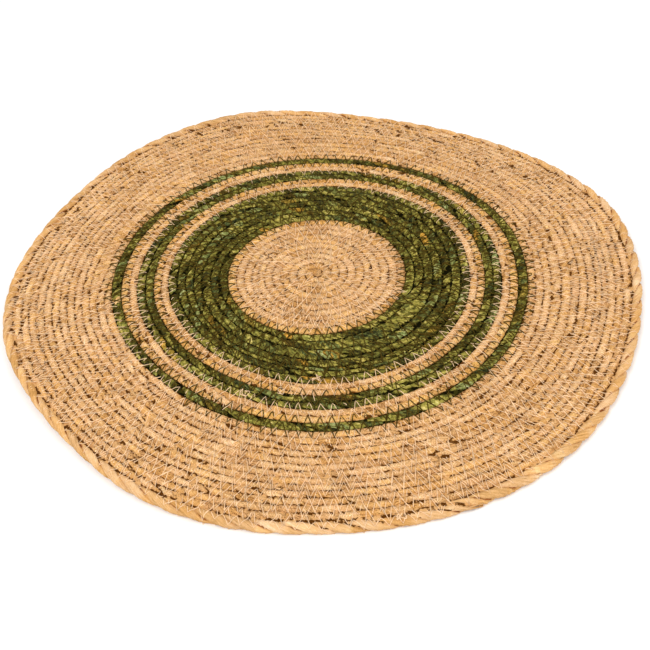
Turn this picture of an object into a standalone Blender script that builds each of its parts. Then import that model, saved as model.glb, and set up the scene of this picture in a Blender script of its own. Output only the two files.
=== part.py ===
"""A round placemat of twisted plant-fibre cord, wound round and round and sewn row to row.

Undyed and green lengths of cord follow each other from the middle to the rim. Each length is a
ridged solid of its own, one ridge for each row, and the last row is a twisted rope. A length's first
and last rows are closed circles, so that no colour steps outwards, and its cord crosses from one row
to the next within a short arc beside them. The mat lies on the plane z = 0, flat in its middle and
uneven towards its rim. Units are metres, +Z is up, and the origin is the centre of the coloured
rings, on the underside. Seen from above, the cord runs counterclockwise as it goes outwards, and
bearings are counted the same way from +X. The one-row ring has cut ends with a gap between them.
"""

import math

import bmesh
import bpy
from mathutils import Vector

MM = 0.001

# The lengths of cord, from the middle outwards
# name, rows, radius it reaches in mm, bearing of its ends in degrees, dye
CORD_LENGTHS = (
    ("centre_coil", 11, 54.0, 340, "undyed"),
    ("green_band", 7, 92.3, 340, "green"),
    ("natural_ring_inner", 2, 100.9, 267, "undyed"),
    ("green_ring_inner", 2, 111.2, 150, "green"),
    ("natural_ring_outer", 2, 120.4, 246, "undyed"),
    ("green_ring_outer", 1, 126.4, 188, "green"),
    ("natural_field", 13, 183.7, 188, "undyed"),
)
START_RADIUS = 4.0 * MM

# The rows
LAP = 48  # steps in a turn
CROSSING_TURNS = 1 / LAP
CROSSING_GROWTH = 0.25
CREST_HEIGHT = 5.0 * MM
SEAM_HEIGHT = 3.7 * MM
PIECE_GAP = 0.3 * MM
RING_END_GAP = 4.5 * MM

# The rope of the rim
RIM_JOINT = math.radians(287)
ROPE_RADIUS = 2.75 * MM
ROPE_LOBES = 80
STEPS_PER_LOBE = 3
ROPE_PLIES = 3
ROPE_SIDES = 6
LOBE_RISE = 0.12
ROPE_END_GAP = 0.6 * MM
ROPE_TIP_SHARE = 0.75
ROPE_FLAT_TURNS = 0.12
ROPE_WIDTH = 2 * ROPE_RADIUS * (1 + LOBE_RISE)
EVEN_RADIUS = CORD_LENGTHS[-1][2] * MM + PIECE_GAP / 2 + ROPE_WIDTH

# The uneven edge, read every 15 degrees
# bearing in degrees, radius of the outline in mm, height of the underside in mm
EDGE_READINGS = (
    (0, 193.5, 1.5),
    (15, 196.5, 1.5),
    (30, 191.0, 1.0),
    (45, 184.0, 0.5),
    (60, 180.0, 0.0),
    (75, 180.0, 0.0),
    (90, 185.5, 1.0),
    (105, 192.0, 3.0),
    (120, 192.0, 3.5),
    (135, 190.0, 3.0),
    (150, 188.0, 1.0),
    (165, 188.5, 0.5),
    (180, 190.0, 1.0),
    (195, 190.0, 2.0),
    (210, 186.5, 3.0),
    (225, 186.0, 2.0),
    (240, 190.0, 1.0),
    (255, 191.0, 0.0),
    (270, 190.5, 0.0),
    (285, 192.0, 0.0),
    (300, 193.5, 0.0),
    (315, 192.5, 0.0),
    (330, 190.0, 0.5),
    (345, 190.0, 1.0),
)
FLAT_RADIUS = 127 * MM
EDGE_SPREAD = 3.0

# How far the coloured rows stray from a circle, read every 30 degrees
# bearing in degrees, distance outwards in mm
RING_READINGS = (
    (0, -1.8),
    (30, 0.4),
    (60, 0.2),
    (90, -1.0),
    (120, 0.4),
    (150, 1.4),
    (180, 0.6),
    (210, -1.0),
    (240, -1.0),
    (270, 1.8),
    (300, 0.8),
    (330, -0.6),
)
RING_EASE = 40 * MM

# The disc in the middle sits a little to the left of the rings round it
DISC_SHIFT = Vector((-2.4, -0.6, 0.0)) * MM
DISC_HOLD = 50 * MM
DISC_EASE = 45 * MM

# Finishes: colour, roughness
DYES = {
    "undyed": ((0.66, 0.37, 0.16, 1.0), 0.75),
    "green": ((0.09, 0.085, 0.018, 1.0), 0.7),
}
SHARP_EDGE = math.radians(70)


def clear_scene():
    for old in list(bpy.data.objects):
        bpy.data.objects.remove(old, do_unlink=True)


def fibre_material(name, dye):
    colour, roughness = DYES[dye]
    material = bpy.data.materials.new(name)
    material.use_nodes = True
    shader = material.node_tree.nodes["Principled BSDF"]
    shader.inputs["Base Color"].default_value = colour
    shader.inputs["Roughness"].default_value = roughness
    shader.inputs["Metallic"].default_value = 0.0
    material.diffuse_color = colour
    return material


def smooth_step(share):
    share = min(1.0, max(0.0, share))
    return share * share * (3 - 2 * share)


def smooth_reading(readings, bearing, column):
    """A smooth curve round the mat through one column of readings."""
    count = len(readings)
    place = (bearing / math.tau * count) % count
    index = int(place)
    share = place - index
    before, low, high, after = (
        readings[(index + step) % count][column] for step in (-1, 0, 1, 2)
    )
    slope_low = (high - before) / 2
    slope_high = (after - low) / 2
    rise = high - low
    bend = 3 * rise - 2 * slope_low - slope_high
    twist = slope_low + slope_high - 2 * rise
    return (low + share * (slope_low + share * (bend + share * twist))) * MM


def on_mat(bearing, radius, height):
    """A point of the even mat, moved to where it lies on the uneven one."""
    widening = smooth_reading(EDGE_READINGS, bearing, 1) / EVEN_RADIUS - 1
    eased = radius * (1 + widening * (radius / EVEN_RADIUS) ** EDGE_SPREAD)
    from_disc = smooth_step((radius - DISC_HOLD) / DISC_EASE)
    to_field = 1 - smooth_step((radius - FLAT_RADIUS) / RING_EASE)
    eased += smooth_reading(RING_READINGS, bearing, 1) * from_disc * to_field
    raised = max(0.0, (radius - FLAT_RADIUS) / (EVEN_RADIUS - FLAT_RADIUS)) ** 2
    lift = max(0.0, smooth_reading(EDGE_READINGS, bearing, 2)) * raised
    point = Vector((eased * math.cos(bearing), eased * math.sin(bearing), height + lift))
    return point + DISC_SHIFT * (1 - from_disc)


def row_edge(turns, rows, inner, outer):
    """The outer radius of the row that a length's cord lies in after so many turns."""
    lap = int(turns)
    if lap >= rows - 1:
        return outer
    first = inner + (outer - inner) / rows if inner else START_RADIUS
    row = (outer - first) / (rows - 1)
    to_closed = min(lap, rows - 2 - lap) if inner else rows - 2 - lap
    crossing = min(1.0, CROSSING_TURNS + CROSSING_GROWTH * to_closed)
    share = max(0.0, (turns - lap - 1 + crossing) / crossing)
    return first + row * (lap + share)


def add_face(mesh, points):
    """A face through the points, where those that meet at the hub count once."""
    corners = list(dict.fromkeys(points))
    if len(corners) > 2:
        mesh.faces.new(corners)


def as_object(name, mesh, material):
    """Turns a closed mesh into an object, with its unused points dropped."""
    loose = [point for point in mesh.verts if not point.link_faces]
    bmesh.ops.delete(mesh, geom=loose, context="VERTS")
    bmesh.ops.recalc_face_normals(mesh, faces=mesh.faces)
    bmesh.ops.triangulate(mesh, faces=mesh.faces)
    data = bpy.data.meshes.new(name)
    mesh.to_mesh(data)
    mesh.free()
    data.shade_smooth()
    data.set_sharp_from_angle(angle=SHARP_EDGE)
    data.materials.append(material)
    solid = bpy.data.objects.new(name, data)
    bpy.context.scene.collection.objects.link(solid)
    return solid


def seam_point(mesh, bearing, radius):
    """The top and the foot of a seam."""
    top = mesh.verts.new(on_mat(bearing, radius, SEAM_HEIGHT))
    foot = mesh.verts.new(on_mat(bearing, radius, 0.0))
    return top, foot


def lay_seams(mesh, bearings, rows, inner, outer):
    """The seams on the inner and on the outer side of a length, step by step along its cord."""
    steps = len(bearings) - 1
    half_gap = PIECE_GAP / 2
    outward = []
    for step in range(steps if rows > 1 else steps + 1):
        radius = row_edge(step / LAP, rows, inner, outer)
        if radius == outer:
            radius -= half_gap
        outward.append(seam_point(mesh, bearings[step], radius))
    if rows > 1:
        outward.append(outward[steps - LAP])
    own = LAP if rows > 1 else LAP + 1
    if inner:
        inward = [seam_point(mesh, bearing, inner + half_gap) for bearing in bearings[:own]]
    else:
        inward = [tuple(mesh.verts.new(on_mat(0, 0, z)) for z in (CREST_HEIGHT, 0.0))] * own
    return inward + outward[: steps + 1 - own], outward


def cord_length(name, rows, inner, outer, ends, dye):
    """One length of cord as a ridged solid, each row sewn to the next along its seam."""
    mesh = bmesh.new()
    steps = rows * LAP
    bearings = [ends + math.tau * step / LAP for step in range(steps + 1)]
    if rows == 1:
        half_gap = RING_END_GAP / 2 / outer
        bearings[0] += half_gap
        bearings[-1] -= half_gap
    inward, outward = lay_seams(mesh, bearings, rows, inner, outer)
    crests = []
    for step, bearing in enumerate(bearings):
        near = row_edge(step / LAP - 1, rows, inner, outer) if step >= LAP else inner
        far = row_edge(step / LAP, rows, inner, outer)
        crests.append(mesh.verts.new(on_mat(bearing, (near + far) / 2, CREST_HEIGHT)))
    inner_walls = range(steps if rows == 1 else LAP)
    if rows > 1:
        crests[-1] = outward[-1][0]
    if rows > 1 and inner:
        tip = inward[LAP - 1]
        inward.insert(0, tip)
        outward.insert(0, tip)
        crests.insert(0, tip[0])
        steps += 1
    for step in range(steps):
        near, near_foot = inward[step]
        near_next, near_foot_next = inward[step + 1]
        far, far_foot = outward[step]
        far_next, far_foot_next = outward[step + 1]
        crest, crest_next = crests[step], crests[step + 1]
        add_face(mesh, (near, near_next, crest_next, crest))
        add_face(mesh, (crest, crest_next, far_next, far))
        add_face(mesh, (near_foot, near_foot_next, far_foot_next, far_foot))
        if inner and step in inner_walls:
            add_face(mesh, (near, near_next, near_foot_next, near_foot))
        if step >= steps - LAP:
            add_face(mesh, (far, far_next, far_foot_next, far_foot))
    if rows == 1:
        for end in (0, -1):
            near, near_foot = inward[end]
            far, far_foot = outward[end]
            add_face(mesh, (near, crests[end], far, far_foot, near_foot))
    elif not inner:
        add_face(mesh, (inward[0][0], crests[0], outward[0][0]))
    return as_object(name, mesh, fibre_material(name, dye))


def rim_rope(name, dye):
    """The outermost row: a rope whose plies swell its section in turn, sewn flat at its tip."""
    mesh = bmesh.new()
    steps = ROPE_LOBES * STEPS_PER_LOBE
    end_gap = ROPE_END_GAP / 2 / (math.tau * EVEN_RADIUS)
    centre = EVEN_RADIUS - ROPE_WIDTH / 2
    rings = []
    for step in range(steps + 1):
        turns = end_gap + (1 - 2 * end_gap) * step / steps
        bearing = RIM_JOINT + math.tau * turns
        share = smooth_step((1 - turns) / ROPE_FLAT_TURNS)
        flatness = ROPE_TIP_SHARE + (1 - ROPE_TIP_SHARE) * share
        ring = []
        for side in range(ROPE_SIDES):
            angle = math.tau * (side + 0.5) / ROPE_SIDES
            phase = ROPE_PLIES * angle + math.tau * step / STEPS_PER_LOBE
            swell = ROPE_RADIUS * (1 + LOBE_RISE * math.cos(phase))
            height = max(0.0, ROPE_RADIUS + swell * math.sin(angle)) * flatness
            radius = centre + swell * math.cos(angle)
            ring.append(mesh.verts.new(on_mat(bearing, radius, height)))
        rings.append(ring)
    for ring, following in zip(rings, rings[1:]):
        for side in range(ROPE_SIDES):
            after = (side + 1) % ROPE_SIDES
            add_face(mesh, (ring[side], ring[after], following[after], following[side]))
    add_face(mesh, rings[0])
    add_face(mesh, rings[-1])
    return as_object(name, mesh, fibre_material(name, dye))


def build_mat():
    inner = 0.0
    for name, rows, radius, ends, dye in CORD_LENGTHS:
        outer = radius * MM
        cord_length(name, rows, inner, outer, math.radians(ends), dye)
        inner = outer
    rim_rope("rim_rope", "undyed")


clear_scene()
build_mat()
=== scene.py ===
"""The looks of a round placemat, coiled from one twisted cord of plant fibre and sewn row to row.

The mat lies on z = 0 with the centre of its coloured rings at the origin. Seen from above, the cord
runs counterclockwise as it goes outwards, and bearings are counted the same way from +X. A place on
a length of cord is given in turns from its start. Units are metres, and +Z is up.
"""

import math
import random

import bpy
from mathutils import Matrix, Vector


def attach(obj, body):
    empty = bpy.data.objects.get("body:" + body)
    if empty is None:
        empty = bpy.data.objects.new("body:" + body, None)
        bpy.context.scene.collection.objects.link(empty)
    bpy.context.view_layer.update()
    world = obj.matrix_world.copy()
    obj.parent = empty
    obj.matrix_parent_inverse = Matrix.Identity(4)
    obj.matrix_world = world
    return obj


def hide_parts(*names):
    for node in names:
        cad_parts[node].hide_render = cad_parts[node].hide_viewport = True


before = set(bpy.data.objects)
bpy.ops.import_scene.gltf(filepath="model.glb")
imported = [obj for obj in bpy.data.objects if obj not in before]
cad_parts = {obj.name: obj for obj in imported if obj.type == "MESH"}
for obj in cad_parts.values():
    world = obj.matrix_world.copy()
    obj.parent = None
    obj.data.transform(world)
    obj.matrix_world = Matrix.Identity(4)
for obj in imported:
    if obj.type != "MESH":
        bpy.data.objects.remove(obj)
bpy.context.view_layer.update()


# The pressed inner fibre of the rows, and its painted shade
# The cord is soft, and sewing it row to row presses its inner fibre into one flat layer. It shows
# between the lobes of the cord, and dark patches of painted shade on it stand for the shade deep
# between them. It carries the mat's uneven lay: the outline swells and draws in, the coloured
# rings waver, and the edge lifts off the table in places.
MM = 0.001
EVEN_RADIUS = 190.01 * MM  # of the outline, if it were a circle
# bearing in degrees, radius of the outline in mm, height of the underside in mm
EDGE_READINGS = (
    (0, 193.5, 1.5),
    (15, 196.5, 1.5),
    (30, 191.0, 1.0),
    (45, 184.0, 0.5),
    (60, 180.0, 0.0),
    (75, 180.0, 0.0),
    (90, 185.5, 1.0),
    (105, 192.0, 3.0),
    (120, 192.0, 3.5),
    (135, 190.0, 3.0),
    (150, 188.0, 1.0),
    (165, 188.5, 0.5),
    (180, 190.0, 1.0),
    (195, 190.0, 2.0),
    (210, 186.5, 3.0),
    (225, 186.0, 2.0),
    (240, 190.0, 1.0),
    (255, 191.0, 0.0),
    (270, 190.5, 0.0),
    (285, 192.0, 0.0),
    (300, 193.5, 0.0),
    (315, 192.5, 0.0),
    (330, 190.0, 0.5),
    (345, 190.0, 1.0),
)
FLAT_RADIUS = 127 * MM  # inside it the mat lies flat on the table
EDGE_SPREAD = 3.0  # how steeply the outline's unevenness fades inwards
# bearing in degrees, how far the coloured rows stray outwards in mm
RING_READINGS = (
    (0, -1.8),
    (30, 0.4),
    (60, 0.2),
    (90, -1.0),
    (120, 0.4),
    (150, 1.4),
    (180, 0.6),
    (210, -1.0),
    (240, -1.0),
    (270, 1.8),
    (300, 0.8),
    (330, -0.6),
)
RING_EASE = 40 * MM  # over which the border straightens this out again
DISC_SHIFT = Vector((-2.4, -0.6, 0.0)) * MM  # how far the disc lies off the middle of the rings
DISC_HOLD = 50 * MM  # radius within which it is shifted whole
DISC_EASE = 45 * MM  # over which the shift ends
FIBRE_FOOT = 1.3 * MM
FIBRE_TOP = 4.15 * MM
FIBRE_STEPS = 120
# outer radius of each part of the layer in mm, and how much of its fibre is dyed
FIBRE_PARTS = (
    (27.0, 0),
    (54.0, 0),
    (73.0, 1),
    (92.3, 1),
    (100.9, 0),
    (111.2, 1),
    (120.4, 0),
    (126.4, 1),
    (141.0, 0),
    (156.0, 0),
    (171.0, 0),
    (188.3, 0),
)
CREVICE_SHADE_SCALE = 300.0
# levels of the noise at which the pressed fibre is wholly painted shade and wholly its own colour
CREVICE_SHADE_EDGES = (0.48, 0.58)
FIBRE_GRAIN_SCALE = 1200.0
FIBRE_RELIEF = 0.3 * MM
# the colours of the pressed fibre: painted shade in its dark patches, and its own colour, undyed
# and then dyed
UNDYED_CREVICE_SHADE = (0.10, 0.034, 0.005, 1.0)
UNDYED_INNER = (0.66, 0.37, 0.145, 1.0)
DYED_CREVICE_SHADE = (0.006, 0.005, 0.001, 1.0)
DYED_INNER = (0.035, 0.030, 0.004, 1.0)


def smooth_step(share):
    share = min(1.0, max(0.0, share))
    return share * share * (3 - 2 * share)


def smooth_reading(readings, bearing, column):
    """A smooth curve round the mat through one column of readings."""
    count = len(readings)
    place = (bearing / math.tau * count) % count
    index = int(place)
    share = place - index
    before, low, high, after = (
        readings[(index + step) % count][column] for step in (-1, 0, 1, 2)
    )
    slope_low = (high - before) / 2
    slope_high = (after - low) / 2
    rise = high - low
    bend = 3 * rise - 2 * slope_low - slope_high
    twist = slope_low + slope_high - 2 * rise
    return (low + share * (slope_low + share * (bend + share * twist))) * MM


def on_mat(bearing, radius, height):
    """A point of the even mat, moved to where it lies on the uneven one."""
    widening = smooth_reading(EDGE_READINGS, bearing, 1) / EVEN_RADIUS - 1
    eased = radius * (1 + widening * (radius / EVEN_RADIUS) ** EDGE_SPREAD)
    from_disc = smooth_step((radius - DISC_HOLD) / DISC_EASE)
    to_field = 1 - smooth_step((radius - FLAT_RADIUS) / RING_EASE)
    eased += smooth_reading(RING_READINGS, bearing, 1) * from_disc * to_field
    past_flat = max(0.0, (radius - FLAT_RADIUS) / (EVEN_RADIUS - FLAT_RADIUS))
    lift = max(0.0, smooth_reading(EDGE_READINGS, bearing, 2)) * past_flat ** 2
    point = Vector((eased * math.cos(bearing), eased * math.sin(bearing), height + lift))
    return point + DISC_SHIFT * (1 - from_disc)


def add(tree, kind, sockets=None, **settings):
    """A new node. sockets gives a value or a link for each input, by its name or number."""
    node = tree.nodes.new(kind)
    for name, value in settings.items():
        setattr(node, name, value)
    for socket, value in (sockets or {}).items():
        if isinstance(value, bpy.types.NodeSocket):
            tree.links.new(value, node.inputs[socket])
        else:
            node.inputs[socket].default_value = value
    return node


def number(tree, operation, *values):
    sockets = dict(enumerate(values))
    return add(tree, "ShaderNodeMath", sockets, operation=operation).outputs[0]


def vector(tree, operation, *values):
    sockets = dict(enumerate(values))
    return add(tree, "ShaderNodeVectorMath", sockets, operation=operation).outputs[0]


def scaled(tree, way, amount):
    sockets = {0: way, "Scale": amount}
    return add(tree, "ShaderNodeVectorMath", sockets, operation="SCALE").outputs[0]


def joined(tree, x=0.0, y=0.0, z=0.0):
    return add(tree, "ShaderNodeCombineXYZ", {0: x, 1: y, 2: z}).outputs[0]


def ranged(tree, value, low, high, to_low=0.0):
    """value carried smoothly from low and high to to_low and 1, and held there past them."""
    sockets = {"Value": value, "From Min": low, "From Max": high, "To Min": to_low}
    return add(tree, "ShaderNodeMapRange", sockets, interpolation_type="SMOOTHSTEP").outputs[0]


def noise(tree, place, scale, detail=2.0, roughness=0.5):
    sockets = {"Vector": place, "Scale": scale, "Detail": detail, "Roughness": roughness}
    return add(tree, "ShaderNodeTexNoise", sockets).outputs[0]


def mixed(tree, share, first, second):
    """A colour between two, by share."""
    node = add(tree, "ShaderNodeMix", {"Factor": share}, data_type="RGBA")
    for socket, value in zip((node.inputs[6], node.inputs[7]), (first, second)):
        if isinstance(value, bpy.types.NodeSocket):
            tree.links.new(value, socket)
        else:
            socket.default_value = value
    return node.outputs[2]


def read_in_finish(tree, name, output="Fac"):
    return add(tree, "ShaderNodeAttribute", attribute_name=name).outputs[output]


def new_finish(name, roughness, specular):
    """A material, its tree and its Principled shader."""
    material = bpy.data.materials.new(name)
    material.use_nodes = True
    shader = material.node_tree.nodes["Principled BSDF"]
    shader.inputs["Roughness"].default_value = roughness
    shader.inputs["Specular IOR Level"].default_value = specular
    return material, material.node_tree, shader


def relief(tree, shader, height, distance, strength=1.0):
    sockets = {"Height": height, "Distance": distance, "Strength": strength}
    bump = add(tree, "ShaderNodeBump", sockets)
    tree.links.new(bump.outputs[0], shader.inputs["Normal"])


def pressed_fibre_and_shade_finish():
    """Brown or olive fibre, with painted crevice shade in patches a few millimetres long."""
    material, tree, shader = new_finish("pressed_fibre", roughness=0.9, specular=0.02)
    place = add(tree, "ShaderNodeTexCoord").outputs["Object"]
    # dark patches of painted shade, standing for the shade deep in the crevices between the lobes
    crevice_shade = ranged(tree, noise(tree, place, CREVICE_SHADE_SCALE), *CREVICE_SHADE_EDGES)
    dyed = read_in_finish(tree, "dyed")
    deep = mixed(tree, dyed, UNDYED_CREVICE_SHADE, DYED_CREVICE_SHADE)
    shallow = mixed(tree, dyed, UNDYED_INNER, DYED_INNER)
    tree.links.new(mixed(tree, crevice_shade, deep, shallow), shader.inputs["Base Color"])
    relief(tree, shader, noise(tree, place, FIBRE_GRAIN_SCALE, detail=3.0), FIBRE_RELIEF)
    return material


def plain_mesh(name, points, faces=(), edges=()):
    mesh = bpy.data.meshes.new(name)
    mesh.from_pydata(points, edges, faces)
    mesh.update()
    return mesh


def set_attribute(mesh, name, kind, domain, values):
    """Stores values, one for each point or face, or three for each where the kind is a vector."""
    slot = "vector" if kind == "FLOAT_VECTOR" else "value"
    mesh.attributes.new(name, kind, domain).data.foreach_set(slot, values)


def as_piece(name, mesh, material):
    """A mesh as an object at the origin, wholly of one material."""
    mesh.materials.clear()
    mesh.materials.append(material)
    piece = bpy.data.objects.new(name, mesh)
    bpy.context.scene.collection.objects.link(piece)
    return piece


def pressed_fibre():
    """A closed layer under the lobes: its top and underside, each a hub and rings, and its rim."""
    points = []
    faces = []
    dyed = []
    rims = []
    for height, is_top in ((FIBRE_TOP, True), (FIBRE_FOOT, False)):
        hub = len(points)
        points.append(on_mat(0, 0, height))
        near = None
        for radius, share in FIBRE_PARTS:
            far = len(points)
            for step in range(FIBRE_STEPS):
                bearing = math.tau * step / FIBRE_STEPS
                points.append(on_mat(bearing, radius * MM, height))
            for step in range(FIBRE_STEPS):
                after = (step + 1) % FIBRE_STEPS
                if near is None:
                    face = [hub, far + step, far + after]
                else:
                    face = [near + step, far + step, far + after, near + after]
                faces.append(face if is_top else face[::-1])
                dyed.append(share)
            near = far
        rims.append(near)
    top, foot = rims
    for step in range(FIBRE_STEPS):
        after = (step + 1) % FIBRE_STEPS
        faces.append((top + step, foot + step, foot + after, top + after))
        dyed.append(0)
    mesh = plain_mesh("pressed_fibre", points, faces)
    set_attribute(mesh, "dyed", "FLOAT", "FACE", dyed)
    return mesh


fibre_layer = as_piece("pressed_fibre", pressed_fibre(), pressed_fibre_and_shade_finish())
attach(fibre_layer, "root")


# The undyed cord
# Two plies of dry leaf and husk, twisted together by machine and wound flat: the disc, two pairs of
# rows between the green ones, and the wide border. A ply shows as a chain of lens-shaped lobes. A
# length begins and ends as a wedge beside the circle that it starts from or closes on.
LAP = 96  # guide points in a turn
START_RADIUS = 4.0 * MM  # that the cord reaches in the first turn of the disc
DISC_START = -0.35  # in turns, so that the coil is closed in the middle
# the part of a turn in which the cord moves out by a row, beside a closed circle, and how much
# longer it takes with each row away from one
CROSSING_TURNS = 1 / 24
CROSSING_GROWTH = 0.25
NARROWEST = 0.25 * MM  # half the width of the cord at the point of a wedge
STATION = 2.2 * MM
ROW_HEIGHT = 5.0 * MM
PLY_SIDES = 8
UNDYED_PLIES = (2, 0.36, 0.64, 0.98)  # how many, and their offset, thickness and width in half rows
# waves in a metre, and how far each carries what it moves: a row and a ply in half rows, a ply's
# twist in turns, its size as a share of itself, and its skin by the unevenness of the cord
ROW_WAVES = (70.0, 0.24)
PLY_WAVES = (60.0, 0.22)
TWIST_WAVES = (60.0, 1.1)
SIZE_WAVES = (130.0, 0.65)
SKIN_WAVES = (700.0, 2.0)
SKIN_STRETCH = (0.35, 1.0, 1.0)  # the skin's folds run along the ply
PLY_APART = 7.3  # in metres, so that no two plies have the same pattern
LOBES_PER_TWIST = 2.0
CORD_ATTRIBUTES = ("fibre", "lobe", "side", "facing", "golden")
# name, rows, radius it starts from and reaches in mm, bearing of its ends, length of a lobe in mm,
# how full the cord is, turns after which it shows golden, past the last pale thread over it
UNDYED_LENGTHS = (
    ("centre_coil", 11, 0, 54.0, 340, 7.5, 1.16, 10.2),
    ("natural_ring_inner", 2, 92.3, 100.9, 267, 12.0, 1.08, 1.0),
    ("natural_ring_outer", 2, 111.2, 120.4, 246, 12.5, 1.08, 1.0),
    ("natural_field", 13, 126.4, 183.7, 188, 11.5, 1.05, 13.0),
)
# the tip of the wide border's cord, which shows between the two ends of the outermost green row
SPLICED = "natural_field"
SPLICE_RADIUS = 123.4 * MM
SPLICE_WIDTH = 5.4 * MM
SPLICE_BEARINGS = (186.4, 187.2, 188.0, 188.8, 189.6)
# tone of the fibre and its colour
UNDYED_SHADES = (
    (0.06, (0.17, 0.066, 0.016, 1.0)),
    (0.24, (0.42, 0.205, 0.068, 1.0)),
    (0.42, (0.60, 0.325, 0.126, 1.0)),
    (0.60, (0.70, 0.395, 0.162, 1.0)),
    (0.80, (0.81, 0.495, 0.228, 1.0)),
    (1.00, (1.00, 0.750, 0.450, 1.0)),
)
# share of the lobes that each tint multiplies, and the tint
UNDYED_TINTS = ((0.3, (1.0, 0.93, 0.74, 1.0)), (0.2, (1.0, 0.97, 0.98, 1.0)))
# painted shade, multiplied into the sides of the rows where they meet
UNDYED_SEAM_SHADE = (0.09, 0.030, 0.003, 1.0)
# the attribute, and its values where the painted seam shade is full and where it has ended
ROW_SIDES = ("side", 0.98, 0.86)
GOLDEN_TINT = (1.0, 0.97, 0.76, 1.0)
HUSK_TINT = (1.08, 1.17, 1.28, 1.0)
NO_TINT = (1.0, 1.0, 1.0, 1.0)
TINT_EASE = 0.1
# how fine each pattern of the fibre is, in waves to a metre
BLOTCH_SCALE = 55.0
HUSK_SCALE = 110.0
FLECK_SCALE = 420.0
DASH_SCALE = 420.0
STREAK_SCALE = 1300.0
SPECKLE_SCALE = 1700.0
HAIR_SCALE = 4200.0
STREAK_STRETCH = (0.10, 1.0, 1.0)
HUSK_STRETCH = (1.0, 0.0, 0.0)  # a patch or a dash goes right round its ply
DASH_STRETCH = (0.25, 0.0, 0.0)
MIDDLE_TONE = 0.52
HAIR_WEIGHT = 0.55
BLOTCH_WEIGHT = 0.35
LOBE_SCRAMBLE = 37.7  # makes a lobe's random number into another
HUSK_EDGES = (0.58, 0.62)  # levels of the noise between which a patch of husk sets in
# a dash is a stretch of painted shade along a row's seam; the next three lines shape the dashes
DASH_EDGES = (0.51, 0.58)  # the same for a dash
DASH_FAINTEST = 0.1
GOLDEN_DASHES = 0.04  # more of them where the cord is golden
FIBRE_ROUGHNESS = (0.35, 0.42)  # how far the hairs vary it, and its least
HAIR_HEIGHT = 0.35
STREAK_RELIEF = 0.5 * MM


def row_edge(turns, rows, inner, outer):
    """The outer radius of the row that a length's cord lies in after so many turns."""
    lap = math.floor(turns)
    if lap >= rows - 1:
        return outer
    if lap < -1 or (lap < 0 and rows == 1):
        return inner
    first = inner + (outer - inner) / rows if inner else START_RADIUS
    row = (outer - first) / (rows - 1)
    to_closed = rows - 2 - lap
    if inner:
        to_closed = max(0, min(lap, to_closed))
    crossing = min(1.0, CROSSING_TURNS + CROSSING_GROWTH * to_closed)
    share = smooth_step((turns - lap - 1 + crossing) / crossing)
    if lap < 0:
        return inner + (first - inner) * share
    return first + row * (lap + share)


def row_middle(turns, rows, inner, outer):
    """Radius of a row's middle and half its width."""
    far = row_edge(turns, rows, inner, outer)
    if inner or turns >= 1:
        near = row_edge(turns - 1, rows, inner, outer)
    else:
        near = max(0.0, far - (outer - START_RADIUS) / (rows - 1))
    return (near + far) / 2, (far - near) / 2


def guide_lines(name, runs):
    """Lines through runs of (bearing, radius, half width, height, flatness, is it golden)."""
    points, edges = [], []
    across, feet, flatness, golden = [], [], [], []
    for run in runs:
        first = len(points)
        for bearing, radius, half_width, height, flat, is_golden in run:
            middle = on_mat(bearing, radius, height)
            points.append(middle)
            across.extend(on_mat(bearing, radius + half_width, height) - middle)
            feet.append(middle.z - height)
            flatness.append(flat)
            golden.append(is_golden)
        edges += [(index, index + 1) for index in range(first, len(points) - 1)]
    mesh = plain_mesh(name, points, edges=edges)
    set_attribute(mesh, "across", "FLOAT_VECTOR", "POINT", across)
    set_attribute(mesh, "foot", "FLOAT", "POINT", feet)
    set_attribute(mesh, "flatness", "FLOAT", "POINT", flatness)
    set_attribute(mesh, "golden", "FLOAT", "POINT", golden)
    return mesh


def new_tree(name, sockets):
    """An empty Geometry Nodes tree and its inputs: a geometry, a material and those named."""
    tree = bpy.data.node_groups.new(name, "GeometryNodeTree")
    tree.interface.new_socket("Geometry", in_out="OUTPUT", socket_type="NodeSocketGeometry")
    for kind, labels in {"Geometry": ("Geometry",), "Material": ("Material",), **sockets}.items():
        for label in labels:
            tree.interface.new_socket(label, in_out="INPUT", socket_type="NodeSocket" + kind)
    return tree, tree.nodes.new("NodeGroupInput").outputs


def read(tree, name, data_type="FLOAT"):
    return add(
        tree, "GeometryNodeInputNamedAttribute", {"Name": name}, data_type=data_type
    ).outputs[0]


def store(tree, geometry, name, value, data_type="FLOAT"):
    sockets = {"Geometry": geometry, "Name": name, "Value": value}
    return add(
        tree, "GeometryNodeStoreNamedAttribute", sockets, data_type=data_type, domain="POINT"
    ).outputs[0]


def moved(tree, geometry, offset):
    return add(tree, "GeometryNodeSetPosition", {"Geometry": geometry, "Offset": offset}).outputs[0]


def placed(tree, geometry, position):
    return add(
        tree, "GeometryNodeSetPosition", {"Geometry": geometry, "Position": position}
    ).outputs[0]


def point_place(tree):
    return add(tree, "GeometryNodeInputPosition").outputs[0]


def parts_of(tree, value):
    return add(tree, "ShaderNodeSeparateXYZ", {0: value}).outputs


def wander(tree, place, scale, amount):
    """A smooth random number about zero, up to about half of amount either way."""
    centred = number(tree, "SUBTRACT", noise(tree, place, scale, 1.0), 0.5)
    return number(tree, "MULTIPLY", centred, amount)


def spaced_guide(tree, given, spacing):
    line = add(tree, "GeometryNodeMeshToCurve", {0: given["Geometry"]}).outputs[0]
    sockets = {"Curve": line, "Length": spacing}
    return add(tree, "GeometryNodeResampleCurve", sockets, mode="LENGTH").outputs[0]


def swept(tree, line, section, scale=1.0):
    sockets = {"Curve": line, "Profile Curve": section, "Scale": scale, "Fill Caps": True}
    tube = add(tree, "GeometryNodeCurveToMesh", sockets).outputs[0]
    return add(tree, "GeometryNodeSetShadeSmooth", {0: tube}).outputs[0]


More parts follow.
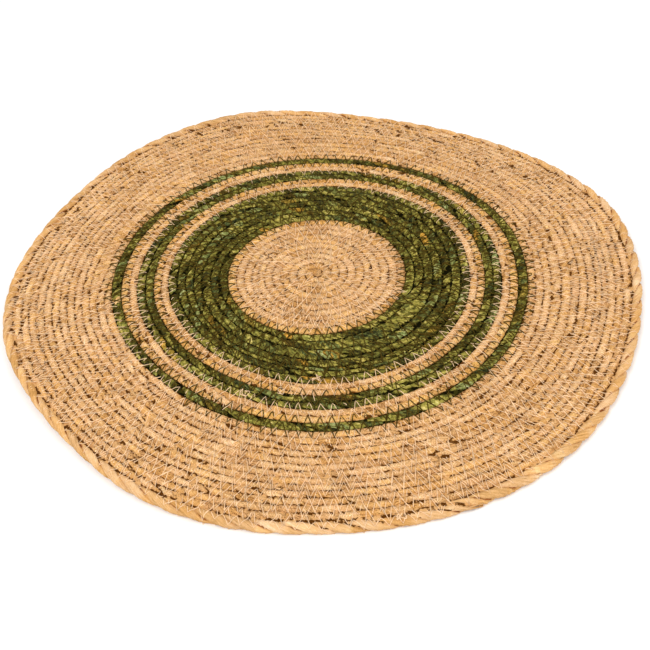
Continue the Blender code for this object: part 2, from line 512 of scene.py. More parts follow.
def finish_tree(tree, geometry, material):
    whole = add(tree, "GeometryNodeRealizeInstances", {0: geometry}).outputs[0]
    covered = add(tree, "GeometryNodeSetMaterial", {"Geometry": whole, "Material": material})
    output = tree.nodes.new("NodeGroupOutput")
    tree.links.new(covered.outputs[0], output.inputs[0])


def twisted_cord():
    """Plies twisted about a guide line, each with a flat section that turns with it."""
    sizes = ("Lobe Length", "Row Height", "Ply Offset", "Ply Thickness", "Ply Width")
    habits = ("Steadiness", "Unevenness", "Pressing", "Seed")
    tree, given = new_tree("Twisted cord", {"Int": ("Plies",), "Float": sizes + habits})

    # the row's own line, straying a little to either side
    line = spaced_guide(tree, given, STATION)
    length = add(tree, "GeometryNodeSplineParameter").outputs["Length"]
    line = store(tree, line, "along", length)
    along = read(tree, "along")
    across = read(tree, "across", "FLOAT_VECTOR")
    line = store(tree, line, "middle", point_place(tree), "FLOAT_VECTOR")
    loose = number(tree, "SUBTRACT", 1.0, given["Steadiness"])
    straying = wander(tree, joined(tree, along, given["Seed"]), *ROW_WAVES)
    line = moved(tree, line, scaled(tree, across, number(tree, "MULTIPLY", straying, loose)))

    # a line for each ply, wound about the cord's own
    sockets = {"Geometry": line, "Amount": given["Plies"]}
    copies = add(tree, "GeometryNodeDuplicateElements", sockets, domain="SPLINE")
    ply = copies.outputs["Duplicate Index"]
    place = joined(tree, along, given["Seed"], ply)
    twist_length = number(tree, "MULTIPLY", given["Plies"], given["Lobe Length"])
    twists = number(tree, "DIVIDE", along, twist_length)
    turned = number(tree, "SUBTRACT", number(tree, "DIVIDE", ply, given["Plies"]), twists)
    straying = number(tree, "MULTIPLY", wander(tree, place, *TWIST_WAVES), loose)
    turned = number(tree, "ADD", turned, straying)
    phase = number(tree, "MULTIPLY", turned, math.tau)
    marked = store(tree, copies.outputs[0], "turned", turned)
    marked = store(tree, marked, "ply", ply)
    sway = number(tree, "MULTIPLY", number(tree, "COSINE", phase), given["Ply Offset"])
    sway = number(tree, "MULTIPLY_ADD", wander(tree, place, *PLY_WAVES), loose, sway)
    lift = number(tree, "MULTIPLY", number(tree, "SINE", phase), given["Ply Offset"])
    lift = number(tree, "MULTIPLY", lift, number(tree, "MULTIPLY", given["Row Height"], 0.5))
    offset = vector(tree, "ADD", scaled(tree, across, sway), joined(tree, z=lift))
    line = moved(tree, marked, offset)
    line = add(tree, "GeometryNodeSetCurveNormal", {0: line}, mode="Z_UP").outputs[0]
    tilt = {"Curve": line, "Tilt": number(tree, "MULTIPLY", phase, -1.0)}
    line = add(tree, "GeometryNodeSetCurveTilt", tilt).outputs[0]

    # the ply's flat section, drawn along its line
    circle = {"Resolution": PLY_SIDES, "Radius": 1.0}
    section = add(tree, "GeometryNodeCurvePrimitiveCircle", circle).outputs[0]
    shape = joined(tree, given["Ply Thickness"], given["Ply Width"], 1.0)
    section = add(tree, "GeometryNodeTransform", {"Geometry": section, "Scale": shape}).outputs[0]
    section = store(tree, section, "section", point_place(tree), "FLOAT_VECTOR")
    half_width = add(tree, "ShaderNodeVectorMath", {0: across}, operation="LENGTH").outputs["Value"]
    swell = number(tree, "MULTIPLY_ADD", wander(tree, place, *SIZE_WAVES), loose, 1.0)
    tube = swept(tree, line, section, number(tree, "MULTIPLY", swell, half_width))

    # what the finish reads, and the ply's crumpled skin
    lobe = number(tree, "FLOOR", number(tree, "MULTIPLY", read(tree, "turned"), LOBES_PER_TWIST))
    chance = joined(tree, lobe, given["Seed"], read(tree, "ply"))
    lobe = add(tree, "ShaderNodeTexWhiteNoise", {"Vector": chance}).outputs[0]
    parts = parts_of(tree, read(tree, "section", "FLOAT_VECTOR"))
    apart = number(tree, "MULTIPLY_ADD", read(tree, "ply"), PLY_APART, read(tree, "along"))
    half_row = number(tree, "MULTIPLY", given["Row Height"], 0.5)
    x_part = number(tree, "MULTIPLY", parts[0], half_row)
    y_part = number(tree, "MULTIPLY", parts[1], half_row)
    tube = store(tree, tube, "fibre", joined(tree, apart, x_part, y_part), "FLOAT_VECTOR")
    tube = store(tree, tube, "lobe", lobe)
    tube = store(tree, tube, "facing", number(tree, "DIVIDE", parts[0], given["Ply Thickness"]))
    drawn = vector(tree, "MULTIPLY", read(tree, "fibre", "FLOAT_VECTOR"), SKIN_STRETCH)
    crumple = number(tree, "MULTIPLY", wander(tree, drawn, *SKIN_WAVES), given["Unevenness"])
    normal = add(tree, "GeometryNodeInputNormal").outputs[0]
    tube = moved(tree, tube, scaled(tree, normal, crumple))
    middle = read(tree, "middle", "FLOAT_VECTOR")
    aside = vector(tree, "SUBTRACT", point_place(tree), middle)
    part, whole = (
        add(
            tree, "ShaderNodeVectorMath", {0: way, 1: across}, operation="DOT_PRODUCT"
        ).outputs["Value"]
        for way in (aside, across)
    )
    side = number(tree, "ABSOLUTE", number(tree, "DIVIDE", part, whole))
    tube = store(tree, tube, "side", side)

    # the cord pressed flatter between its foot and the height of the row
    x, y, z = parts_of(tree, point_place(tree))
    foot = read(tree, "foot")
    height = number(tree, "DIVIDE", number(tree, "SUBTRACT", z, foot), given["Row Height"])
    tube = store(tree, tube, "centred", number(tree, "MULTIPLY_ADD", height, 2.0, -1.0))
    centred = read(tree, "centred")
    slack = number(tree, "MULTIPLY", number(tree, "ABSOLUTE", centred), given["Pressing"])
    push = number(tree, "SUBTRACT", number(tree, "ADD", given["Pressing"], 1.0), slack)
    share = number(tree, "MULTIPLY_ADD", number(tree, "MULTIPLY", centred, push), 0.5, 0.5)
    above = number(tree, "MULTIPLY", number(tree, "MAXIMUM", share, 0.0), given["Row Height"])
    pressed = number(tree, "MULTIPLY_ADD", above, read(tree, "flatness"), foot)
    tube = placed(tree, tube, joined(tree, x, y, pressed))
    finish_tree(tree, tube, given["Material"])
    return tree


def made_by(tree, name, guide, kept, **inputs):
    """The plain mesh that a tree makes on a guide. kept names the attributes the finish reads."""
    worker = bpy.data.objects.new(name, guide)
    bpy.context.scene.collection.objects.link(worker)
    modifier = worker.modifiers.new(name, "NODES")
    modifier.node_group = tree
    for item in tree.interface.items_tree:
        label = item.name.lower().replace(" ", "_")
        if item.in_out == "INPUT" and label in inputs:
            modifier[item.identifier] = inputs[label]
    evaluated = worker.evaluated_get(bpy.context.evaluated_depsgraph_get())
    mesh = bpy.data.meshes.new_from_object(evaluated)
    mesh.name = name
    bpy.data.objects.remove(worker)
    for attribute in [a.name for a in mesh.attributes]:
        found = mesh.attributes[attribute]
        if not (found.is_required or found.is_internal or attribute in kept):
            mesh.attributes.remove(found)
    return mesh


def shade_steps(tree, place, steps):
    """A colour ramp with a step for each (place, colour)."""
    ramp = add(tree, "ShaderNodeValToRGB", {0: place})
    points = ramp.color_ramp.elements
    while len(points) < len(steps):
        points.new(1.0)
    for point, (where, colour) in zip(points, steps):
        point.position = where
        point.color = colour
    return ramp.outputs["Color"]


def weighed(tree, base, *parts):
    """base and each (value, weight), with every value counted from its middle, 0.5."""
    total = base
    for value, weight in parts:
        centred = number(tree, "SUBTRACT", value, 0.5)
        total = number(tree, "MULTIPLY_ADD", centred, weight, total)
    return total


def fibre_finish(name, steps, tints, spread, streaks, grain, flecks, seam_shade, seam_shade_range):
    """Dry twisted fibre: each lobe has its own tone, with streaks along it and painted seam shade.

    tints are two colours by which a share of the lobes is multiplied. spread, streaks, grain and
    flecks are how far lobes, the streaks on them, fine specks and small spots differ. The last two
    are painted shade, multiplied in dashes into the sides of a row where the rows meet, and an
    attribute with the values of it where this shade is full and where it has ended.
    """
    material, tree, shader = new_finish(name, roughness=0.6, specular=0.08)
    fibre = read_in_finish(tree, "fibre", "Vector")
    drawn = vector(tree, "MULTIPLY", fibre, STREAK_STRETCH)
    streak = noise(tree, drawn, STREAK_SCALE, detail=3.0, roughness=0.65)
    hair = noise(tree, drawn, HAIR_SCALE, roughness=0.6)
    place = add(tree, "ShaderNodeTexCoord").outputs["Object"]
    lobe = read_in_finish(tree, "lobe")
    tone = weighed(
        tree,
        MIDDLE_TONE,
        (lobe, spread),
        (streak, streaks),
        (noise(tree, place, SPECKLE_SCALE, detail=1.0), grain),
        (hair, HAIR_WEIGHT),
        (noise(tree, place, BLOTCH_SCALE), BLOTCH_WEIGHT),
        (noise(tree, place, FLECK_SCALE), flecks),
    )
    shade = shade_steps(tree, tone, steps)

    (low_share, low_tint), (high_share, high_tint) = tints
    other = number(tree, "FRACT", number(tree, "MULTIPLY", lobe, LOBE_SCRAMBLE))
    low = ranged(tree, other, low_share, low_share + TINT_EASE)
    high = ranged(tree, other, 1 - high_share - TINT_EASE, 1 - high_share)
    tint = mixed(tree, high, mixed(tree, low, low_tint, NO_TINT), high_tint)
    shade = vector(tree, "MULTIPLY", shade, tint)
    husk = noise(tree, vector(tree, "MULTIPLY", fibre, HUSK_STRETCH), HUSK_SCALE, detail=1.0)
    pale = mixed(tree, ranged(tree, husk, *HUSK_EDGES), NO_TINT, HUSK_TINT)
    shade = vector(tree, "MULTIPLY", shade, pale)
    golden = read_in_finish(tree, "golden")
    shade = vector(tree, "MULTIPLY", shade, mixed(tree, golden, NO_TINT, GOLDEN_TINT))

    # painted shade in the seams: darker towards the sides of a row, in dashes along it
    attribute, full, ended = seam_shade_range
    seam_shade_mask = ranged(tree, read_in_finish(tree, attribute), ended, full)
    run = noise(tree, vector(tree, "MULTIPLY", fibre, DASH_STRETCH), DASH_SCALE, detail=1.0)
    run = number(tree, "MULTIPLY_ADD", golden, GOLDEN_DASHES, run)
    shade_dash = ranged(tree, run, *DASH_EDGES, to_low=DASH_FAINTEST)
    dark = mixed(tree, number(tree, "MULTIPLY", seam_shade_mask, shade_dash), NO_TINT, seam_shade)
    shade = vector(tree, "MULTIPLY", shade, dark)

    tree.links.new(shade, shader.inputs["Base Color"])
    roughness = number(tree, "MULTIPLY_ADD", hair, *FIBRE_ROUGHNESS)
    tree.links.new(roughness, shader.inputs["Roughness"])
    height = number(tree, "MULTIPLY_ADD", hair, HAIR_HEIGHT, streak)
    relief(tree, shader, height, STREAK_RELIEF, strength=0.8)
    return material


def length_stations(rows, inner, outer, ends, golden_from, gap=0.0):
    """Where a length of cord runs, as guide_lines needs it."""
    if not inner:
        start = DISC_START
    elif rows > 1:
        start = -CROSSING_TURNS
    else:
        start = gap
    steps = round((rows - gap - start) * LAP)
    for step in range(steps + 1):
        turns = start + (rows - gap - start) * step / steps
        middle, half_width = row_middle(turns, rows, inner, outer)
        half_width = max(half_width, NARROWEST)
        is_golden = float(turns >= golden_from)
        yield ends + math.tau * turns, middle, half_width, ROW_HEIGHT / 2, 1.0, is_golden


def lay_cord(
    name, rows, inner, outer, ends, lobe, fullness, golden_from, twist, finish, slot, gap=0.0
):
    """One length of twisted cord, standing for the solid of the same name."""
    runs = [length_stations(rows, inner * MM, outer * MM, math.radians(ends), golden_from, gap)]
    if name == SPLICED:
        runs.append(
            (math.radians(bearing), SPLICE_RADIUS, SPLICE_WIDTH / 2, ROW_HEIGHT / 2, 1.0, 1.0)
            for bearing in SPLICE_BEARINGS
        )
    plies, offset, thickness, width = twist
    mesh = made_by(
        cord_tree,
        name + "_cord",
        guide_lines(name, runs),
        CORD_ATTRIBUTES,
        plies=plies,
        lobe_length=lobe * MM,
        row_height=ROW_HEIGHT,
        ply_offset=offset * fullness,
        ply_thickness=thickness * fullness,
        ply_width=width * fullness,
        steadiness=0.0,
        unevenness=0.5 * MM,
        pressing=1.0,
        seed=outer / 10,
        material=finish,
    )
    piece = as_piece(name + "_cord", mesh, finish)
    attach(piece, "root")
    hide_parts(name)
    return piece


cord_tree = twisted_cord()
undyed_finish = fibre_finish(
    "undyed_fibre",
    UNDYED_SHADES,
    UNDYED_TINTS,
    spread=0.35,
    streaks=0.8,
    grain=1.5,
    flecks=0.3,
    seam_shade=UNDYED_SEAM_SHADE,
    seam_shade_range=ROW_SIDES,
)
cords = [
    lay_cord(*length, UNDYED_PLIES, undyed_finish, "undyed_fibre") for length in UNDYED_LENGTHS
]


# The dyed cord
# The same cord, of three plies and dyed before it is wound: the broad green band and three narrow
# green rows. The dye takes unevenly, from near black to yellow green at random, with a little amber
# and blue green, and painted shade darkens the sides of the rows where they meet. The outermost
# row is one turn, with its two cut ends a little apart.
RING_END_GAP = 4.5 * MM
DYED_PLIES = (3, 0.56, 0.50, 0.74)  # how many, and their offset, thickness and width in half rows
DYED_LENGTHS = (
    ("green_band", 7, 54.0, 92.3, 340, 7.5, 0.99, 7.0),
    ("green_ring_inner", 2, 100.9, 111.2, 150, 7.5, 1.0, 2.0),
    ("green_ring_outer", 1, 120.4, 126.4, 188, 8.0, 1.0, 1.0),
)
DYED_SHADES = (
    (0.16, (0.012, 0.010, 0.001, 1.0)),
    (0.34, (0.050, 0.042, 0.006, 1.0)),
    (0.50, (0.125, 0.110, 0.017, 1.0)),
    (0.64, (0.240, 0.205, 0.032, 1.0)),
    (0.82, (0.43, 0.35, 0.066, 1.0)),
    (1.00, (0.72, 0.58, 0.19, 1.0)),
)
DYED_TINTS = ((0.0, (1.45, 0.9, 0.6, 1.0)), (0.1, (0.75, 0.95, 1.5, 1.0)))
# painted shade, multiplied into the sides of the rows where they meet
DYED_SEAM_SHADE = (0.08, 0.07, 0.04, 1.0)

dyed_finish = fibre_finish(
    "green_fibre",
    DYED_SHADES,
    DYED_TINTS,
    spread=0.4,
    streaks=1.1,
    grain=0.5,
    flecks=0.9,
    seam_shade=DYED_SEAM_SHADE,
    seam_shade_range=ROW_SIDES,
)
for length in DYED_LENGTHS:
    rows, reach = length[1], length[3]
    gap = RING_END_GAP / 2 / (math.tau * reach * MM) if rows == 1 else 0.0
    cords.append(lay_cord(*length, DYED_PLIES, dyed_finish, "green_fibre", gap))


# The rope of the rim
# The last turn of the cord is a thicker, smoother rope of two plies. Only its inner side is caught
# by the sewing, so its twist shows all round the edge. Its tip is sewn down flat beside its start.
RIM_JOINT = math.radians(287)
RIM_WIDTH = 6.16 * MM
RIM_LOBE = 15.0 * MM
RIM_PLIES = (2, 0.41, 0.59, 0.76)  # how many, and their offset, thickness and width in half ropes
RIM_SCARF_TURNS = 0.015  # over which it narrows at each end
RIM_THINNEST = 0.2  # of its width
RIM_TIP_SHARE = 0.75  # of its height, at the tip
RIM_FLAT_TURNS = 0.12  # over which it flattens to that
RIM_SHADES = (
    (0.06, (0.30, 0.13, 0.03, 1.0)),
    (0.26, (0.56, 0.30, 0.10, 1.0)),
    (0.46, (0.69, 0.39, 0.155, 1.0)),
    (0.68, (0.80, 0.485, 0.22, 1.0)),
    (1.00, (0.93, 0.66, 0.37, 1.0)),
)
RIM_TINTS = ((0.3, (1.0, 0.94, 0.8, 1.0)), (0.25, (1.0, 1.02, 1.12, 1.0)))
# painted shade, multiplied in dashes into the inner faces of the two plies, in the crease between
# them
RIM_CREASE_SHADE = (0.34, 0.15, 0.05, 1.0)
# the attribute, and its values where the painted crease shade is full and where it has ended
PLY_INSIDES = ("facing", -0.6, 0.0)


def rim_stations():
    """Where the rim rope runs. It flattens towards its tip, which tapers outside its start."""
    steps = LAP * 2
    for step in range(steps + 1):
        turns = (1 + RIM_SCARF_TURNS) * step / steps
        begun = smooth_step(turns / RIM_SCARF_TURNS)
        left = 1 - smooth_step((turns - 1) / RIM_SCARF_TURNS)
        half_width = RIM_WIDTH / 2 * max(RIM_THINNEST, min(begun, left))
        middle = EVEN_RADIUS - half_width
        if turns < RIM_SCARF_TURNS:
            middle = EVEN_RADIUS - RIM_WIDTH + half_width
        share = smooth_step((1 - turns) / RIM_FLAT_TURNS)
        flat = RIM_TIP_SHARE + (1 - RIM_TIP_SHARE) * share
        bearing = RIM_JOINT + math.tau * turns
        yield bearing, middle, half_width, RIM_WIDTH / 2, flat, 0.0


rim_finish = fibre_finish(
    "rim_fibre",
    RIM_SHADES,
    RIM_TINTS,
    spread=0.3,
    streaks=1.1,
    grain=0.4,
    flecks=0.35,
    seam_shade=RIM_CREASE_SHADE,
    seam_shade_range=PLY_INSIDES,
)
plies, offset, thickness, width = RIM_PLIES
rim_mesh = made_by(
    cord_tree,
    "rim_rope_twist",
    guide_lines("rim_rope", [rim_stations()]),
    CORD_ATTRIBUTES,
    plies=plies,
    lobe_length=RIM_LOBE,
    row_height=RIM_WIDTH,
    ply_offset=offset,
    ply_thickness=thickness,
    ply_width=width,
    steadiness=0.75,
    unevenness=0.25 * MM,
    pressing=0.3,
    seed=50.0,
    material=rim_finish,
)
rim_rope = as_piece("rim_rope_twist", rim_mesh, rim_finish)
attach(rim_rope, "root")
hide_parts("rim_rope")
cords.append(rim_rope)


# The sewing thread
# A thin thread, zigzagged by machine over the seam between each row and the next, far out over both
# rows, on both faces of the mat. It is pale where undyed cord is sewn on and olive where green cord
# is. A pale run also holds down the tip of the rim rope.
STITCH = 3.15 * MM
PALE_WIDTH = 0.42 * MM
OLIVE_WIDTH = 0.62 * MM
THREAD_SIDES = 4
HALF_ROW = 2.5 * MM
STITCH_REACH = 1.75  # half rows to each side of the seam
REACH_SPREAD = 0.5  # half rows
DRIFT_SPREAD = 1.6 * MM
LEG_CUTS = 3
HOLE_DEPTH = 0.35 * MM
AT_HOLE = 0.99  # of the swing, from which a point lies in its hole
CORD_CLEARANCE = 0.6  # thread widths from the cord to the middle of the thread
TAUTNESS = 0.8  # how far the thread bridges the hollows that it crosses
RAY_START = 12 * MM
RIM_RUN = (0.88, 1.0)  # turns of the rope between which the thread over its tip runs
RIM_RUN_REACH = 0.75
PALE_THREAD = (1.0, 0.70, 0.42, 1.0)
OLIVE_THREAD = (0.090, 0.058, 0.008, 1.0)
DARK_THREAD = 0.72
THREAD_BLOTCH_SCALE = 260.0
THREAD_BLOTCH_EDGES = (0.3, 0.6)  # levels of the noise at which the thread is darkest and palest
THREAD_TWIST_SCALE = 5000.0
THREAD_RELIEF = 0.1 * MM
# the length on whose outer side it runs, bearing of its ends, turns from and to, is it pale
SEAM_RUNS = (
    ("centre_coil", 340, 0.5, 10, True),
    ("centre_coil", 340, 10, 11, False),
    ("green_band", 340, 0, 6, False),
    ("green_band", 267, 6, 7, True),
    ("natural_ring_inner", 267, 0, 1, True),
    ("natural_ring_inner", 150, 1, 2, False),
    ("green_ring_inner", 150, 0, 1, False),
    ("green_ring_inner", 246, 1, 2, True),
    ("natural_ring_outer", 246, 0, 1, True),
    ("natural_ring_outer", 188, 1, 2, False),
    ("green_ring_outer", 188, 0, 0.125, True),
    ("green_ring_outer", 188, 0.125, 1, False),
    ("natural_field", 188, 0, 13, True),
)


def round_section(tree, width, sides):
    circle = {"Resolution": sides, "Radius": number(tree, "MULTIPLY", width, 0.5)}
    return add(tree, "GeometryNodeCurvePrimitiveCircle", circle).outputs[0]


def zigzag_stitch():
    """Thread zigzagged across a seam line and laid on the cords below or above it."""
    sizes = ("Side", "Stitch", "Reach", "Thread", "Seed")
    tree, given = new_tree("Zigzag stitch", {"Collection": ("Cords",), "Float": sizes})

    # a point for each turn of the zigzag, to this side and to that, each a little astray
    line = spaced_guide(tree, given, given["Stitch"])
    index = add(tree, "GeometryNodeInputIndex").outputs[0]
    swing = number(tree, "MULTIPLY_ADD", number(tree, "MODULO", index, 2.0), 2.0, -1.0)
    line = store(tree, line, "swing", swing)
    seeded = joined(tree, index, given["Seed"])
    chance = add(tree, "ShaderNodeTexWhiteNoise", {"Vector": seeded}).outputs["Color"]
    chances = parts_of(tree, chance)
    reach = number(tree, "MULTIPLY_ADD", chances[0], REACH_SPREAD, -REACH_SPREAD / 2)
    reach = number(tree, "ADD", given["Reach"], reach)
    reach = number(tree, "MULTIPLY", reach, read(tree, "swing"))
    out = scaled(tree, read(tree, "across", "FLOAT_VECTOR"), reach)
    drift = number(tree, "MULTIPLY_ADD", chances[1], DRIFT_SPREAD, -DRIFT_SPREAD / 2)
    tangent = add(tree, "GeometryNodeInputTangent").outputs[0]
    line = moved(tree, line, vector(tree, "ADD", out, scaled(tree, tangent, drift)))
    line = add(tree, "GeometryNodeSubdivideCurve", {"Curve": line, "Cuts": LEG_CUTS}).outputs[0]

    # each point brought onto the cord that a ray down or up through it meets
    shown = add(tree, "GeometryNodeCollectionInfo", {0: given["Cords"]}).outputs[0]
    target = add(tree, "GeometryNodeRealizeInstances", {0: shown}).outputs[0]
    x, y, z = parts_of(tree, point_place(tree))
    away = number(tree, "MULTIPLY", given["Side"], RAY_START)
    ray = {
        "Target Geometry": target,
        "Source Position": joined(tree, x, y, away),
        "Ray Direction": joined(tree, z=number(tree, "MULTIPLY", given["Side"], -1.0)),
        "Ray Length": 2 * RAY_START,
    }
    hit = add(tree, "GeometryNodeRaycast", ray).outputs["Hit Position"]
    met = parts_of(tree, hit)[2]

    # the thread drawn in at its holes, taut between them and clear of the table
    turn = number(tree, "ABSOLUTE", read(tree, "swing"))
    sunk = number(tree, "MULTIPLY", number(tree, "GREATER_THAN", turn, AT_HOLE), HOLE_DEPTH)
    clear = number(tree, "MULTIPLY", given["Thread"], CORD_CLEARANCE)
    clear = number(tree, "SUBTRACT", clear, sunk)
    outward = number(tree, "MULTIPLY_ADD", met, given["Side"], clear)
    blur = {"Value": outward, "Iterations": 1, "Weight": TAUTNESS}
    taut = add(tree, "GeometryNodeBlurAttribute", blur).outputs[0]
    outward = number(tree, "MAXIMUM", outward, taut)
    level = number(tree, "MULTIPLY", outward, given["Side"])
    level = number(tree, "MAXIMUM", level, number(tree, "MULTIPLY", given["Thread"], 0.5))
    line = placed(tree, line, joined(tree, x, y, level))
    section = round_section(tree, given["Thread"], THREAD_SIDES)
    finish_tree(tree, swept(tree, line, section), given["Material"])
    return tree


def seam_stations(rows, inner, outer, ends, start, end):
    """The seam on the outer side of a length's rows, between two places along it."""
    steps = max(2, round((end - start) * LAP))
    for step in range(steps + 1):
        turns = start + (end - start) * step / steps
        edge = row_edge(turns, rows, inner, outer)
        yield ends + math.tau * turns, edge, HALF_ROW, ROW_HEIGHT, 1.0, 0.0


def thread_finish(name, colour):
    """Twisted sewing thread, a little darker in places."""
    material, tree, shader = new_finish(name, roughness=0.6, specular=0.03)
    place = add(tree, "ShaderNodeTexCoord").outputs["Object"]
    dark = tuple(DARK_THREAD * part for part in colour[:3]) + (1.0,)
    blotch = noise(tree, place, THREAD_BLOTCH_SCALE)
    darkest, palest = THREAD_BLOTCH_EDGES
    shade = shade_steps(tree, blotch, ((darkest, dark), (palest, colour)))
    tree.links.new(shade, shader.inputs["Base Color"])
    relief(tree, shader, noise(tree, place, THREAD_TWIST_SCALE), THREAD_RELIEF, strength=0.5)
    return material


def tip_stations():
    """The middle of the rim rope, over its flattened tip."""
    first, last = RIM_RUN
    steps = round(LAP * (last - first))
    half_width = RIM_WIDTH / 2 / STITCH_REACH * RIM_RUN_REACH
    for step in range(steps + 1):
        bearing = RIM_JOINT + math.tau * (first + (last - first) * step / steps)
        yield bearing, EVEN_RADIUS - RIM_WIDTH / 2, half_width, RIM_WIDTH, 1.0, 0.0


def thread_runs(pale):
    """Every run of the pale or of the olive thread."""
    laid = {name: where for name, *where in UNDYED_LENGTHS + DYED_LENGTHS}
    for name, ends, start, end, is_pale in SEAM_RUNS:
        if is_pale == pale:
            rows, inner, outer = laid[name][:3]
            yield seam_stations(rows, inner * MM, outer * MM, math.radians(ends), start, end)
    if pale:
        yield tip_stations()


cord_group = bpy.data.collections.new("cords")
for cord in cords:
    cord_group.objects.link(cord)
stitch_tree = zigzag_stitch()
pale_finish = thread_finish("pale_thread", PALE_THREAD)
olive_finish = thread_finish("olive_thread", OLIVE_THREAD)
threads = (
    ("pale", True, pale_finish, PALE_WIDTH),
    ("olive", False, olive_finish, OLIVE_WIDTH),
)
for colour, pale, finish, thread_width in threads:
    for face, side in (("top", 1.0), ("underside", -1.0)):
        label = f"{colour}_stitching_{face}"
        mesh = made_by(
            stitch_tree,
            label,
            guide_lines(label, thread_runs(pale)),
            (),
            cords=cord_group,
            side=side,
            stitch=STITCH,
            reach=STITCH_REACH,
            thread=thread_width,
            seed=3.0,
            material=finish,
        )
        stitching = as_piece(label, mesh, finish)
        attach(stitching, "root")


# Loose ends
# Where a thread was begun or cut it is knotted, and its tail stands up in a small tangle. Bits of
# the plant fibre have worked loose in the wide border, and lie on it or reach out over the rim.
LOOSE_SIDES = 4
LOOSE_STATION = 0.5 * MM
# bearing in degrees, radius and how far the tangle spreads in mm, turns of thread in it, is it pale
TANGLES = (
    (267, 89.5, 2.6, 9, True),
    (256, 101.0, 2.2, 8, True),
    (246, 108.5, 2.4, 8, True),
    (280, 187.0, 2.4, 9, True),
    (176, 119.5, 3.2, 3, False),
    (150, 102.0, 1.6, 5, False),
    (340, 55.0, 1.6, 5, False),
)
TANGLE_RISE = 1.6 * MM
HAIRS_PER_SQUARE_METRE = 1500.0
HAIR_REACH = 7.0 * MM
HAIR_BEND = 2.2 * MM
HAIR_RISE = 1.2 * MM
HAIR_WIDTH = 0.26 * MM
HAIR_STEPS = 6
HAIR_SIDES = 3
HAIR_SIZES = (0.5, 1.2)
UPWARD_ENOUGH = 0.8  # of a spot's normal, for a fibre to lie there


def tangle_points(bearing, radius, spread, turns, chance):
    """Places along a thread that doubles back over itself on top of the mat."""
    for _ in range(turns):
        aside = chance.uniform(-spread, spread) * MM
        around = bearing + chance.uniform(-spread, spread) / radius
        height = ROW_HEIGHT + chance.uniform(0, TANGLE_RISE)
        yield around, radius * MM + aside, MM, height, 1.0, 0.0


def loose_thread():
    """A smooth thread through the points of each guide line."""
    tree, given = new_tree("Loose thread", {"Float": ("Thread",)})
    line = add(tree, "GeometryNodeMeshToCurve", {0: given["Geometry"]}).outputs[0]
    line = add(
        tree, "GeometryNodeCurveSplineType", {0: line}, spline_type="CATMULL_ROM"
    ).outputs[0]
    sockets = {"Curve": line, "Length": LOOSE_STATION}
    line = add(tree, "GeometryNodeResampleCurve", sockets, mode="LENGTH").outputs[0]
    section = round_section(tree, given["Thread"], LOOSE_SIDES)
    finish_tree(tree, swept(tree, line, section), given["Material"])
    return tree


def stray_fibres():
    """Short bent fibres, strewn over the upper side of a mesh."""
    tree, given = new_tree("Stray fibres", {"Float": ("Density", "Width"), "Int": ("Seed",)})
    normal = add(tree, "GeometryNodeInputNormal").outputs[0]
    upward = parts_of(tree, normal)[2]
    strewn = {
        "Mesh": given["Geometry"],
        "Selection": number(tree, "GREATER_THAN", upward, UPWARD_ENOUGH),
        "Density": given["Density"],
        "Seed": given["Seed"],
    }
    spots = add(tree, "GeometryNodeDistributePointsOnFaces", strewn).outputs[0]
    bend = {
        "Resolution": HAIR_STEPS,
        "Start": (0.0, 0.0, 0.0),
        "Middle": (HAIR_REACH / 2, HAIR_BEND, HAIR_RISE),
        "End": (HAIR_REACH, 0.0, HAIR_RISE / 3),
    }
    line = add(tree, "GeometryNodeCurveQuadraticBezier", bend).outputs[0]
    hair = swept(tree, line, round_section(tree, given["Width"], HAIR_SIDES))
    turn, size = (
        add(
            tree, "FunctionNodeRandomValue", {2: least, 3: most, "Seed": given["Seed"]}
        ).outputs[1]
        for least, most in ((0.0, math.tau), HAIR_SIZES)
    )
    placing = {
        "Points": spots,
        "Instance": hair,
        "Rotation": joined(tree, z=turn),
        "Scale": size,
    }
    strewn_hair = add(tree, "GeometryNodeInstanceOnPoints", placing).outputs[0]
    finish_tree(tree, strewn_hair, given["Material"])
    return tree


loose_tree = loose_thread()
chance = random.Random(5)
for colour, pale, finish, thread_width in threads:
    label = f"{colour}_thread_ends"
    runs = [
        tangle_points(math.radians(bearing), radius, spread, turns, chance)
        for bearing, radius, spread, turns, is_pale in TANGLES
        if is_pale == pale
    ]
    mesh = made_by(
        loose_tree, label, guide_lines(label, runs), (), thread=thread_width, material=finish
    )
    thread_ends = as_piece(label, mesh, finish)
    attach(thread_ends, "root")

stray_tree = stray_fibres()
border = cords[len(UNDYED_LENGTHS) - 1]
stray_mesh = made_by(
    stray_tree,
    "stray_fibres",
    border.data.copy(),
    (),
    density=HAIRS_PER_SQUARE_METRE,
    seed=4,
    width=HAIR_WIDTH,
    material=pale_finish,
)
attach(as_piece("stray_fibres", stray_mesh, pale_finish), "root")
bpy.data.collections.remove(cord_group)


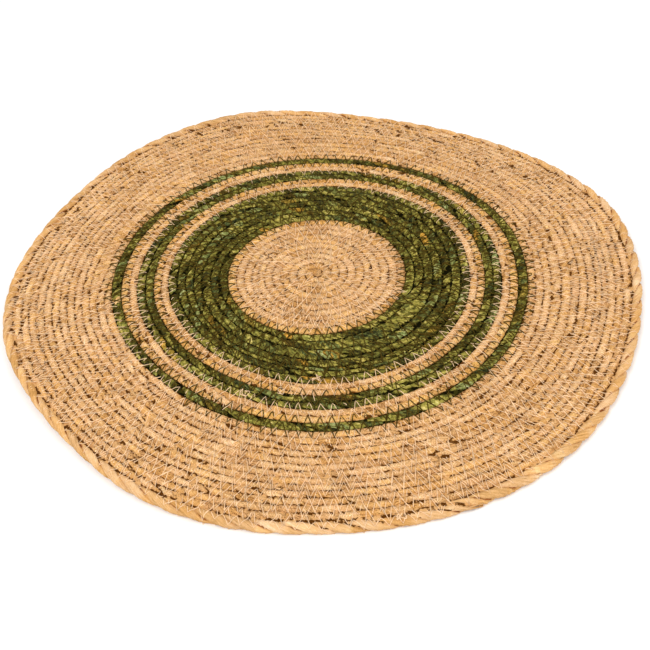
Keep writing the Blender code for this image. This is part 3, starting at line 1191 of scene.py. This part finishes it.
# The floor
# A plain, pale studio table. It reaches far past what the camera sees of it, and throws a soft
# light back up at the mat.
FLOOR_HALF = 3.0
FLOOR_COLOUR = (0.95, 0.95, 0.95, 1.0)
FLOOR_SIDES = ((-1, -1), (1, -1), (1, 1), (-1, 1))
floor_points = [(FLOOR_HALF * x, FLOOR_HALF * y, 0.0) for x, y in FLOOR_SIDES]
floor_finish, _, floor_shader = new_finish("floor", roughness=0.8, specular=0.5)
floor_shader.inputs["Base Color"].default_value = FLOOR_COLOUR
floor = as_piece("floor", plain_mesh("floor", floor_points, [(0, 1, 2, 3)]), floor_finish)


# The light
# Two large soft lamps above the near side of the mat, and a white room that lights it evenly from
# all round.
ROOM_STRENGTH = 0.765
# name, place and side in metres, power in watts
LAMPS = (
    ("key_lamp", (-0.7, -0.75, 1.4), 0.9, 14.3),
    ("fill_lamp", (1.2, -0.75, 1.2), 1.2, 9.5),
)
world = bpy.data.worlds.new("room")
world.use_nodes = True
room = world.node_tree.nodes["Background"]
room.inputs["Color"].default_value = (1.0, 1.0, 1.0, 1.0)
room.inputs["Strength"].default_value = ROOM_STRENGTH
bpy.context.scene.world = world


def soft_lamp(name, place, size, power):
    lamp_data = bpy.data.lights.new(name, "AREA")
    lamp_data.shape = "SQUARE"
    lamp_data.size = size
    lamp_data.energy = power
    lamp = bpy.data.objects.new(name, lamp_data)
    lamp.location = place
    lamp.rotation_euler = (-Vector(place)).to_track_quat("-Z", "Y").to_euler()
    bpy.context.scene.collection.objects.link(lamp)


for lamp in LAMPS:
    soft_lamp(*lamp)


# The camera
# It looks down at the mat from the front, at about 43 degrees and from about 0.6 m, and is turned a
# little about its view. Its place and turn were fitted to the photograph's coloured rings.
CAMERA_PLACE = (0.0012, -0.47799, 0.40314)
CAMERA_RIGHT = Vector((0.99876, -0.03384, -0.03657))
CAMERA_UP = Vector((0.04983, 0.67837, 0.73302))
CAMERA_LENS_MM = 56.46
CAMERA_SENSOR_MM = 36.0
NEAREST_SEEN = 0.01
camera_data = bpy.data.cameras.new("camera")
camera_data.sensor_width = CAMERA_SENSOR_MM
camera_data.lens = CAMERA_LENS_MM
camera_data.clip_start = NEAREST_SEEN
camera = bpy.data.objects.new("camera", camera_data)
bpy.context.scene.collection.objects.link(camera)
camera_turn = Matrix((CAMERA_RIGHT, CAMERA_UP, CAMERA_RIGHT.cross(CAMERA_UP))).transposed()
camera.matrix_world = Matrix.Translation(CAMERA_PLACE) @ camera_turn.to_4x4()
bpy.context.scene.camera = camera
bpy.context.scene.view_settings.view_transform = "Standard"
